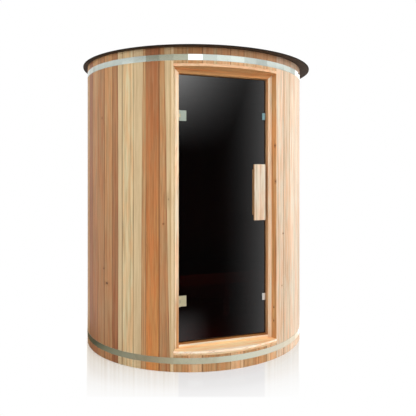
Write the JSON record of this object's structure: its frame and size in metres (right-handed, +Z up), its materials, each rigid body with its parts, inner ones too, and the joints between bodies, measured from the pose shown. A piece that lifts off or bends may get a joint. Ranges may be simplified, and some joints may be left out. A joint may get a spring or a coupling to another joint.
{
  "type": "barrel sauna",
  "caption": "Upright round barrel sauna of wooden staves held by steel hoops, with a thin round roof, a rear bench and a smoked glass door that swings outward.",
  "frame": {"origin": "on the barrel's axis, at ground level, under the middle floor bearer", "axes": "+Z up along the barrel's axis; the door faces -Y; +X is to the right of someone facing the door"},
  "size_m": [1.7038, 1.7038, 2],
  "materials": {
    "stave_wood": "planed, unvarnished",
    "board_wood": "planed",
    "doorway_wood": "planed",
    "bench_wood": "sanded",
    "handle_wood": "sanded",
    "hoop_steel": "rolled band",
    "door_steel": "satin",
    "roof_wood": "stained sheet",
    "roof_felt": "roofing felt",
    "smoked_glass": "smoked, toughened"
  },
  "bodies": {
    "cabin": {"wall_staves_01": "stave_wood", "wall_staves_02": "stave_wood", "wall_staves_03": "stave_wood", "wall_staves_04": "stave_wood", "wall_staves_05": "stave_wood", "wall_staves_06": "stave_wood", "wall_staves_07": "stave_wood", "wall_staves_08": "stave_wood", "wall_staves_09": "stave_wood", "wall_staves_10": "stave_wood", "wall_staves_11": "stave_wood", "wall_staves_12": "stave_wood", "header_staves": "stave_wood", "sill_staves": "stave_wood", "top_hoop": "hoop_steel", "bottom_hoop": "hoop_steel", "hoop_bolts": "hoop_steel", "hoop_nuts": "hoop_steel", "roof_sheet": "roof_wood", "roof_felt": "roof_felt", "ceiling_boards": "board_wood", "floor_boards": "board_wood", "floor_bearers": "board_wood", "head_board": "doorway_wood", "sill_board": "doorway_wood", "frame_left_stile": "doorway_wood", "frame_right_stile": "doorway_wood", "frame_head_rail": "doorway_wood", "frame_sill_rail": "doorway_wood", "latch_stop": "doorway_wood", "catch_magnets": "door_steel", "hinge_leaves": "door_steel", "hinge_pins": "door_steel", "bench_slats": "bench_wood", "bench_front_rail": "bench_wood", "bench_ledger": "bench_wood", "bench_bearers": "bench_wood", "bench_legs": "bench_wood"},
    "door": {"door_glass": "smoked_glass", "hinge_clamps": "door_steel", "hinge_backplates": "door_steel", "catch_plates": "door_steel", "handle_grips": "handle_wood", "handle_spacers": "handle_wood"}
  },
  "joints": [
    {"name": "door_hinge", "type": "hinge", "parent": "cabin", "child": "door", "pos_m": [-0.29377, -0.66082, 0.98], "axis": [0, 0, -1], "range_deg": [0, 95]}
  ]
}
